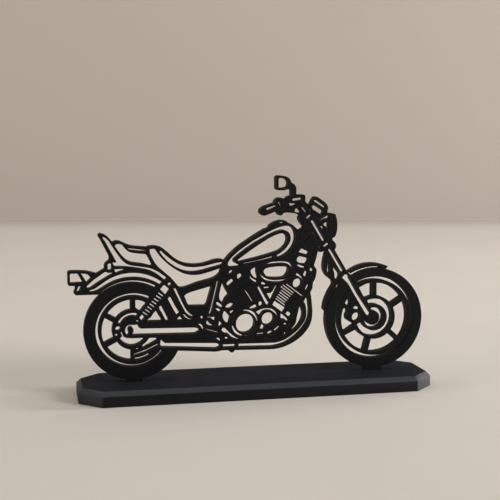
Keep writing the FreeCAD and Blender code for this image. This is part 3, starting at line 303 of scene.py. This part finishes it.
class LayerLines(EffectGroup):
    """The thin level lines that building up in layers leaves on a part's walls.

    Each range below is of the tilt, which is 0 on a wall and 1 on a face across the stack.
    """

    title = "layer_lines"
    inputs = (("Layer", "NodeSocketFloat", 0.0002), ("Along Y", "NodeSocketFloat", 1.0))
    outputs = (("Height", "NodeSocketFloat"), ("Level", "NodeSocketFloat"), ("Slope", "NodeSocketFloat"))
    wall_range = (0.9, 0.2)
    level_range = (0.9, 0.98)
    slope_start_range = (0.2, 0.6)
    slope_end_range = (0.98, 0.85)

    def fill(self, graph: Graph, given: bpy.types.NodeOutputs, result: bpy.types.Node) -> None:
        """Adds a round-backed wave along the stacking axis, on faces that hold that axis.

        Level marks the faces across the stack, and Slope those that its steps climb.

        Args:
            graph: The group's graph.
            given: The sockets that hold the group's inputs.
            result: The node that takes its outputs.
        """
        place = graph.add("SeparateXYZ", Vector=given["Vector"])
        facing = graph.add("SeparateXYZ", Vector=graph.add("NewGeometry").outputs["Normal"])
        across = graph.math("SUBTRACT", 1.0, given["Along Y"])
        depth = graph.math("ADD", graph.math("MULTIPLY", place.outputs["Y"], given["Along Y"]),
                           graph.math("MULTIPLY", place.outputs["Z"], across))
        level = graph.math("ADD", graph.math("MULTIPLY", facing.outputs["Y"], given["Along Y"]),
                           graph.math("MULTIPLY", facing.outputs["Z"], across))
        tilt = graph.math("ABSOLUTE", level)
        wall = graph.spread(tilt, *self.wall_range)
        slope = graph.math("MULTIPLY", graph.spread(tilt, *self.slope_start_range),
                           graph.spread(tilt, *self.slope_end_range))
        turn = graph.math("MULTIPLY", graph.math("DIVIDE", depth, given["Layer"]), math.pi)
        ridge = graph.math("ABSOLUTE", graph.math("SINE", turn))
        graph.set(result, "Height", graph.math("MULTIPLY", ridge, wall))
        graph.set(result, "Level", graph.spread(tilt, *self.level_range))
        graph.set(result, "Slope", slope)


class EdgeWear(EffectGroup):
    """The thin paler line that handling leaves on outer edges."""

    title = "edge_wear"
    inputs = (("Edge", "NodeSocketFloat", 0.0), ("Amount", "NodeSocketFloat", 0.5),
              ("Patch Size", "NodeSocketFloat", 0.004))
    outputs = (("Worn", "NodeSocketFloat"),)
    patch_noise = {"Detail": 3.0}
    patch_range = (0.4, 0.6)

    def fill(self, graph: Graph, given: bpy.types.NodeOutputs, result: bpy.types.Node) -> None:
        """Takes the rounded edges and breaks them up with noise.

        Args:
            graph: The group's graph.
            given: The sockets that hold the group's inputs.
            result: The node that takes its outputs.
        """
        patches = graph.add("TexNoise", Vector=given["Vector"], **self.patch_noise,
                            Scale=graph.math("DIVIDE", 1.0, given["Patch Size"]))
        broken = graph.math("MULTIPLY", given["Edge"],
                            graph.spread(patches.outputs["Fac"], *self.patch_range))
        graph.set(result, "Worn", graph.math("MULTIPLY", broken, given["Amount"]))


class SettledDust(EffectGroup):
    """The faint dust that settles on faces that look up."""

    title = "settled_dust"
    inputs = (("Amount", "NodeSocketFloat", 0.1), ("Patch Size", "NodeSocketFloat", 0.01))
    outputs = (("Dust", "NodeSocketFloat"),)
    upward_range = (0.6, 1.0)
    patch_noise = {"Detail": 5.0, "Roughness": 0.65}
    patch_range = (0.35, 0.75)

    def fill(self, graph: Graph, given: bpy.types.NodeOutputs, result: bpy.types.Node) -> None:
        """Takes the faces that look up and breaks them up with noise.

        Args:
            graph: The group's graph.
            given: The sockets that hold the group's inputs.
            result: The node that takes its outputs.
        """
        facing = graph.add("SeparateXYZ", Vector=graph.add("NewGeometry").outputs["Normal"])
        upward = graph.spread(facing.outputs["Z"], *self.upward_range)
        patches = graph.add("TexNoise", Vector=given["Vector"], **self.patch_noise,
                            Scale=graph.math("DIVIDE", 1.0, given["Patch Size"]))
        broken = graph.math("MULTIPLY", upward, graph.spread(patches.outputs["Fac"], *self.patch_range))
        graph.set(result, "Dust", graph.math("MULTIPLY", broken, given["Amount"]))


@dataclass(frozen=True)
class PlasticFinish:
    """Matte plastic with its grain, layer lines, worn edges, a little dust, painted shade on its walls
    and a painted highlight on its slopes.

    Attributes:
        title: The material's name.
        level: The colour of the faces across the stack.
        wall: The colour of the walls along it, darker than level as painted shade.
        mottled: The colour of the slow mottling.
        worn: The colour of a worn edge.
        painted_slope_highlight: The lighter colour of a slope, a painted highlight for the light that
            the layers' steps catch.
        dust: The colour of the dust.
        roughness: The roughness of a face.
        roughness_spread: How much the mottling changes the roughness.
        dust_roughness: How much full dust adds to the roughness.
        specular: The specular level.
        sheen_coat: The weight of the thin glossier skin on walls and slopes.
        level_coat: Its weight on the faces across the stack.
        coat_roughness: The skin's roughness.
        stacked: The axis along which its layers are stacked.
        layer: One layer's thickness.
        layer_depth: How deep the line between two layers is.
        grain_size: The size of the grain.
        grain_depth: How deep the grain is.
        wear: How much of the edges is worn.
        dusting: How much dust lies on it.
        mottling: How strong the mottling is.
    """

    title: str
    level: Colour
    wall: Colour
    mottled: Colour
    worn: Colour
    painted_slope_highlight: Colour
    dust: Colour = from_screen(150, 144, 136)
    roughness: float = 0.5
    roughness_spread: float = 0.08
    dust_roughness: float = 0.5
    specular: float = 0.4
    sheen_coat: float = 0.0
    level_coat: float = 0.0
    coat_roughness: float = 0.45
    stacked: Wall = Wall.PLATE
    layer: float = 0.0002
    layer_depth: float = 0.00002
    grain_size: float = 0.0005
    grain_depth: float = 0.00001
    wear: float = 0.4
    dusting: float = 0.04
    mottling: float = 0.5

    def material(self) -> bpy.types.Material:
        """Returns the finish as a material."""
        material = bpy.data.materials.new(self.title)
        material.use_nodes = True
        material.node_tree.nodes.clear()
        graph = Graph(material.node_tree)
        place = graph.add("TexCoord").outputs["Object"]
        grain = MouldGrain().place(graph, place, Grain_Size=self.grain_size)
        lines = LayerLines().place(graph, place, Layer=self.layer,
                                   Along_Y=1.0 if self.stacked is Wall.PLATE else 0.0)
        edge = graph.add("Attribute", {"attribute_name": EDGE_MARK}).outputs["Fac"]
        worn = EdgeWear().place(graph, place, Edge=edge, Amount=self.wear).outputs["Worn"]
        dust = SettledDust().place(graph, place, Amount=self.dusting).outputs["Dust"]
        # Walls get a darker colour than the faces across the stack here: painted shade.
        colour = graph.blend(lines.outputs["Level"], rgba(self.wall), rgba(self.level))
        mottling = graph.math("MULTIPLY", grain.outputs["Mottle"], self.mottling)
        colour = graph.blend(mottling, colour, rgba(self.mottled))
        # Slopes such as the base's chamfer get a lighter colour here: a painted highlight.
        colour = graph.blend(lines.outputs["Slope"], colour, rgba(self.painted_slope_highlight))
        colour = graph.blend(worn, colour, rgba(self.worn))
        colour = graph.blend(dust, colour, rgba(self.dust))
        rough = graph.spread(grain.outputs["Mottle"], 0.0, 1.0, self.roughness,
                             self.roughness + self.roughness_spread)
        rough = graph.math("ADD", rough, graph.math("MULTIPLY", dust, self.dust_roughness))
        fine = graph.add("Bump", Height=grain.outputs["Height"], Distance=self.grain_depth)
        bump = graph.add("Bump", Height=lines.outputs["Height"], Distance=self.layer_depth,
                         Normal=fine.outputs["Normal"])
        skin = graph.spread(lines.outputs["Level"], 0.0, 1.0, self.sheen_coat, self.level_coat)
        shader = graph.add("BsdfPrincipled", Base_Color=colour, Roughness=rough, Coat_Weight=skin,
                           Normal=bump.outputs["Normal"])
        shader.inputs["Specular IOR Level"].default_value = self.specular
        shader.inputs["Coat Roughness"].default_value = self.coat_roughness
        graph.add("OutputMaterial", Surface=shader.outputs["BSDF"])
        return material


@dataclass(frozen=True)
class StudioPaper:
    """The plain surface under and behind the ornament, paler on the floor than on the wall.

    Attributes:
        floor: The floor's colour.
        fold: The floor's colour at the wall's foot.
        wall: The wall's colour.
        fade: How far before the wall the floor starts to darken.
        fold_height: How high up the wall's own colour starts.
        cloud_scale: How many slow clouds of tone there are to a metre.
        cloud_detail: How broken their edges are.
        cloud_range: The part of the noise that makes them.
        cloud_strength: How much of the wall's colour a full cloud has.
        roughness: The paper's roughness.
        specular: Its specular level.
    """

    floor: Colour
    fold: Colour
    wall: Colour
    fade: float = 0.20
    fold_height: float = 0.0005
    cloud_scale: float = 6.0
    cloud_detail: float = 3.0
    cloud_range: tuple[float, float] = (0.3, 0.7)
    cloud_strength: float = 0.06
    roughness: float = 0.9
    specular: float = 0.1

    def material(self, away: Vector, wall_place: float) -> bpy.types.Material:
        """Makes the paper's material.

        Args:
            away: The level direction towards the wall.
            wall_place: How far along it the wall stands.

        Returns:
            The material.
        """
        material = bpy.data.materials.new("studio_paper")
        material.use_nodes = True
        graph = Graph(material.node_tree)
        place = graph.add("TexCoord").outputs["Object"]
        height = graph.add("SeparateXYZ", Vector=place).outputs["Z"]
        depth = graph.add("VectorMath", {"operation": "DOT_PRODUCT"})
        graph.set(depth, 0, place)
        graph.set(depth, 1, tuple(away))
        clouds = graph.add("TexNoise", Vector=place, Scale=self.cloud_scale, Detail=self.cloud_detail)
        past_wall = graph.math("SUBTRACT", depth.outputs["Value"], wall_place)
        folded = graph.spread(past_wall, -self.fade, 0.0)
        colour = graph.blend(folded, rgba(self.floor), rgba(self.fold))
        colour = graph.blend(graph.spread(height, 0.0, self.fold_height), colour, rgba(self.wall))
        shade = graph.spread(clouds.outputs["Fac"], *self.cloud_range, 0.0, self.cloud_strength)
        shader = material.node_tree.nodes["Principled BSDF"]
        graph.set(shader, "Base Color", graph.blend(shade, colour, rgba(self.wall)))
        shader.inputs["Roughness"].default_value = self.roughness
        shader.inputs["Specular IOR Level"].default_value = self.specular
        return material


# In both finishes the walls' colour is darker than the faces' as painted shade, and the slopes' colour
# is lighter as a painted highlight.
FIGURE_PLASTIC = PlasticFinish(
    title="figure_black", level=from_screen(18, 18, 19), wall=from_screen(16, 16, 16),
    mottled=from_screen(15, 15, 15), worn=from_screen(56, 55, 54), painted_slope_highlight=from_screen(30, 30, 30),
    roughness=0.58, roughness_spread=0.04, specular=0.12, stacked=Wall.PLATE)
BASE_PLASTIC = PlasticFinish(
    title="base_slate", level=from_screen(36, 38, 43), wall=from_screen(15, 16, 18),
    mottled=from_screen(27, 29, 32), worn=from_screen(70, 74, 80), painted_slope_highlight=from_screen(56, 57, 60),
    roughness=0.6, roughness_spread=0.05, specular=0.0, sheen_coat=0.4, level_coat=0.08,
    stacked=Wall.SLAB, wear=0.2, dusting=0.02, mottling=0.3, layer_depth=0.00001, grain_depth=0.000006)
PAPER = StudioPaper(floor=from_screen(212, 203, 192), fold=from_screen(190, 180, 168),
                    wall=from_screen(174, 164, 154))


def deselect_all() -> None:
    """Leaves object mode with nothing selected."""
    if bpy.context.object and bpy.context.object.mode != "OBJECT":
        bpy.ops.object.mode_set(mode="OBJECT")
    bpy.ops.object.select_all(action="DESELECT")


@dataclass
class MouldedPart:
    """A solid of the part, with the small rounding and the finish of the real one.

    Attributes:
        node: The CAD node that it stands for.
        piece: The name of the dressed piece.
        slot: The record's material slot; not used.
        finish: The plastic that it is made of.
        edge_radius: The radius of its edges.
        edge_steps: The number of faces round an edge.
        sharp_degrees: Edges that turn by more than this are rounded.
    """

    node: str
    piece: str
    slot: str
    finish: PlasticFinish
    edge_radius: float
    edge_steps: int = 2
    sharp_degrees: float = 32.0

    def copy_node(self) -> bpy.types.Object:
        """Copies the CAD node and joins its loose triangles.

        Returns:
            The copy, as one closed mesh.
        """
        deselect_all()
        source = frame["nodes"][self.node]
        source.select_set(True)
        bpy.context.view_layer.objects.active = source
        bpy.ops.object.duplicate()
        copy = bpy.context.view_layer.objects.active
        copy.name = copy.data.name = self.piece
        for key in [key for key in copy.keys() if key.startswith("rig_")]:
            del copy[key]
        copy.parent = None
        bpy.ops.mesh.customdata_custom_splitnormals_clear()
        bpy.ops.object.mode_set(mode="EDIT")
        bpy.ops.mesh.select_all(action="SELECT")
        bpy.ops.mesh.remove_doubles(threshold=MERGE_DISTANCE)
        bpy.ops.object.mode_set(mode="OBJECT")
        return copy

    def round_edges(self, piece: bpy.types.Object) -> bpy.types.Object:
        """Rounds the sharp edges.

        Args:
            piece: The piece to round.

        Returns:
            The rounded piece.
        """
        bevel = piece.modifiers.new("edge_rounding", "BEVEL")
        bevel.width = self.edge_radius
        bevel.segments = self.edge_steps
        bevel.limit_method = "ANGLE"
        bevel.angle_limit = math.radians(self.sharp_degrees)
        bevel.use_clamp_overlap = False
        bevel.miter_outer = "MITER_ARC"
        bevel.material = 1
        bpy.ops.object.modifier_apply(modifier=bevel.name)
        bpy.ops.object.shade_smooth_by_angle(angle=math.radians(self.sharp_degrees))
        return piece

    def mark_edges(self, piece: bpy.types.Object) -> None:
        """Turns the second material's faces into a mark that the finish reads.

        Args:
            piece: The rounded piece.
        """
        faces = piece.data.polygons
        mark = piece.data.attributes.new(EDGE_MARK, "FLOAT", "FACE")
        mark.data.foreach_set("value", [float(face.material_index) for face in faces])
        faces.foreach_set("material_index", [0] * len(faces))
        piece.data.materials.pop(index=1)

    def build(self) -> bpy.types.Object:
        """Makes the piece and dresses it.

        Returns:
            The finished piece.
        """
        piece = self.copy_node()
        material = self.finish.material()
        piece.data.materials.clear()
        piece.data.materials.append(material)
        piece.data.materials.append(material)
        self.mark_edges(self.round_edges(piece))
        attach(piece, ROOT_BODY)
        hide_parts(self.node)
        LOG.info("%s: %d faces, finish %s", piece.name, len(piece.data.polygons), self.finish.title)
        return piece


@dataclass
class CutPlate(MouldedPart):
    """A flat plate in the XZ plane, with a small chamfer along every line of its outline."""

    def round_edges(self, piece: bpy.types.Object) -> bpy.types.Object:
        """Draws both faces in and moves the walls' ends back by as much.

        Args:
            piece: The merged plate.

        Returns:
            The chamfered plate.
        """
        low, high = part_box(self.node)
        middle, half = (low.y + high.y) / 2, (high.y - low.y) / 2
        bpy.ops.object.mode_set(mode="EDIT")
        bpy.ops.mesh.select_mode(type="FACE")
        bpy.ops.mesh.select_all(action="DESELECT")
        bpy.ops.object.mode_set(mode="OBJECT")
        for face in piece.data.polygons:
            face.select = abs(face.normal.y) > FLAT_FACING
        bpy.ops.object.mode_set(mode="EDIT")
        bpy.ops.mesh.inset(thickness=self.edge_radius, use_even_offset=True)
        bpy.ops.mesh.select_all(action="INVERT")
        piece.active_material_index = 1
        bpy.ops.object.material_slot_assign()
        bpy.ops.mesh.select_less()
        piece.active_material_index = 0
        bpy.ops.object.material_slot_assign()
        bpy.ops.transform.resize(value=(1.0, 1.0 - self.edge_radius / half, 1.0),
                                 center_override=(0.0, middle, 0.0))
        bpy.ops.object.mode_set(mode="OBJECT")
        bpy.ops.object.shade_smooth_by_angle(angle=math.radians(self.sharp_degrees))
        return piece


@dataclass(frozen=True)
class SoftLamp:
    """One large soft lamp.

    Attributes:
        title: The lamp's name.
        place: Where it stands.
        size: Its width and height.
        power: Its power in watts.
        colour: Its colour.
        aim: The point that it shines on.
        spread_degrees: How wide its light fans out.
    """

    title: str
    place: tuple[float, float, float]
    size: tuple[float, float]
    power: float
    colour: Colour = (1.0, 1.0, 1.0)
    aim: tuple[float, float, float] = (0.0, 0.0, 0.05)
    spread_degrees: float = 180.0

    def build(self) -> bpy.types.Object:
        """Sets the lamp up.

        Returns:
            The lamp.
        """
        deselect_all()
        bpy.ops.object.light_add(type="AREA", location=self.place)
        lamp = bpy.context.object
        lamp.name = self.title
        lamp.data.shape = "RECTANGLE"
        lamp.data.size, lamp.data.size_y = self.size
        lamp.data.energy = self.power
        lamp.data.color = self.colour
        lamp.data.spread = math.radians(self.spread_degrees)
        lamp.rotation_euler = (Vector(self.aim) - Vector(self.place)).to_track_quat("-Z", "Y").to_euler()
        return lamp


@dataclass
class Studio:
    """The floor, the wall, the lamps and the camera.

    Attributes:
        paper: The finish of the floor and the wall.
        camera_place: Where the camera stands.
        camera_yaw: How far it is turned to the right, in degrees.
        camera_pitch: How far it looks down, in degrees.
        lens: Its focal length, in millimetres.
        sensor: The width of its sensor, in millimetres.
        clip_start: How near it starts to see.
        wall_distance: How far the wall is from the camera.
        wall_height: How high the wall is.
        floor_behind: How far the floor reaches behind the camera.
        cove_radius: The radius between the floor and the wall.
        cove_steps: The number of faces round that radius.
        half_width: Half the width of the paper.
        lamps: The lamps.
        sky: The colour and strength of the light from all round.
    """

    paper: StudioPaper
    camera_place: tuple[float, float, float] = (-0.12264, -0.55976, 0.14205)
    camera_yaw: float = 12.03
    camera_pitch: float = 6.25
    lens: float = 74.2
    sensor: float = 36.0
    clip_start: float = 0.01
    wall_distance: float = 1.78
    wall_height: float = 4.0
    floor_behind: float = 3.0
    cove_radius: float = 0.002
    cove_steps: int = 12
    half_width: float = 4.0
    lamps: tuple[SoftLamp, ...] = ()
    sky: Colour = (0.1, 0.103, 0.108)

    def build_paper(self) -> bpy.types.Object:
        """Sweeps the floor up into the wall behind the ornament.

        Returns:
            The paper.
        """
        deselect_all()
        turn = math.radians(-self.camera_yaw)
        away = Vector((-math.sin(turn), math.cos(turn), 0.0))
        side = Vector((math.cos(turn), math.sin(turn), 0.0))
        foot = Vector((self.camera_place[0], self.camera_place[1], 0.0)) + away * self.wall_distance
        bpy.ops.mesh.primitive_plane_add(size=1.0, location=(0, 0, 0))
        paper = bpy.context.object
        paper.name = paper.data.name = "studio_paper"
        front = foot - away * (self.wall_distance + self.floor_behind)
        corners = (front - side * self.half_width, front + side * self.half_width,
                   foot - side * self.half_width, foot + side * self.half_width)
        for vertex, corner in zip(paper.data.vertices, corners):
            vertex.co = corner
        bpy.ops.object.mode_set(mode="EDIT")
        bpy.ops.mesh.select_all(action="DESELECT")
        bpy.ops.object.mode_set(mode="OBJECT")
        far_corners = {2, 3}
        for edge in paper.data.edges:
            edge.select = set(edge.vertices) == far_corners
        for vertex in paper.data.vertices:
            vertex.select = vertex.index in far_corners
        bpy.ops.object.mode_set(mode="EDIT")
        bpy.ops.mesh.select_mode(type="EDGE")
        bpy.ops.mesh.extrude_region_move(TRANSFORM_OT_translate={"value": (0, 0, self.wall_height)})
        bpy.ops.object.mode_set(mode="OBJECT")
        bend = paper.modifiers.new("cove", "BEVEL")
        bend.width = self.cove_radius
        bend.segments = self.cove_steps
        bpy.ops.object.modifier_apply(modifier=bend.name)
        bpy.ops.object.shade_smooth()
        paper.data.materials.append(self.paper.material(away, foot.dot(away)))
        return paper

    def build_camera(self) -> bpy.types.Object:
        """Sets up the camera at the photograph's angle.

        Returns:
            The camera.
        """
        deselect_all()
        bpy.ops.object.camera_add(location=self.camera_place)
        camera = bpy.context.object
        camera.name = "camera"
        tilt, turn = math.radians(90.0 - self.camera_pitch), math.radians(-self.camera_yaw)
        camera.rotation_euler = (tilt, 0.0, turn)
        camera.data.lens = self.lens
        camera.data.sensor_width = self.sensor
        camera.data.clip_start = self.clip_start
        bpy.context.scene.camera = camera
        return camera

    def build_sky(self) -> None:
        """Gives the world its plain soft light."""
        world = bpy.data.worlds.new("studio_sky")
        world.use_nodes = True
        background = world.node_tree.nodes["Background"]
        background.inputs["Color"].default_value = rgba(self.sky)
        background.inputs["Strength"].default_value = 1.0
        bpy.context.scene.world = world

    def build(self) -> None:
        """Builds the studio round the ornament."""
        self.build_paper()
        self.build_sky()
        for lamp in self.lamps:
            lamp.build()
        self.build_camera()
        bpy.context.scene.view_settings.view_transform = "Standard"
        LOG.info("studio: %d lamps", len(self.lamps))


@dataclass
class Ornament:
    """The whole ornament: the figure and the base that holds it.

    Attributes:
        figure: The cut-out plate.
        base: The eight-sided slab.
    """

    figure: MouldedPart = field(default_factory=lambda: CutPlate(
        node="cutout_figure", piece="figure_plate", slot="figure_plastic", finish=FIGURE_PLASTIC,
        edge_radius=0.00012))
    base: MouldedPart = field(default_factory=lambda: MouldedPart(
        node="base", piece="base_slab", slot="base_plastic", finish=BASE_PLASTIC,
        edge_radius=0.00025, edge_steps=3, sharp_degrees=20.0))

    def build(self) -> list[bpy.types.Object]:
        """Builds both parts.

        Returns:
            The two pieces.
        """
        return [part.build() for part in (self.figure, self.base)]


LAMPS = (
    SoftLamp("key_right", (2.97, -0.18, 0.56), (0.45, 0.5), 82.0, (0.96, 0.98, 1.0)),
    SoftLamp("rim_right", (1.80, 0.65, 0.12), (0.5, 0.2), 2.8, (1.0, 0.98, 0.95), spread_degrees=50.0),
    SoftLamp("window_right", (1.97, -1.35, 1.00), (0.8, 0.7), 42.0, (0.96, 0.98, 1.0)),
    SoftLamp("fill_left", (-2.3, -0.40, 0.38), (0.6, 0.5), 26.0, (1.0, 0.93, 0.85)),
    SoftLamp("top", (-0.2, 0.35, 2.0), (1.8, 1.8), 7.5, (0.94, 0.97, 1.0)),
    SoftLamp("wash", (-0.6, 0.5, 1.5), (1.2, 0.6), 4.5, aim=(-0.1, 0.95, 0.0)),
)


def main() -> None:
    """Builds the ornament and then the studio round it."""
    logging.basicConfig(level=logging.INFO, format="%(name)s: %(message)s")
    pieces = Ornament().build()
    Studio(paper=PAPER, lamps=LAMPS).build()
    LOG.info("pieces: %s", ", ".join(piece.name for piece in pieces))


if __name__ == "__main__":
    main()
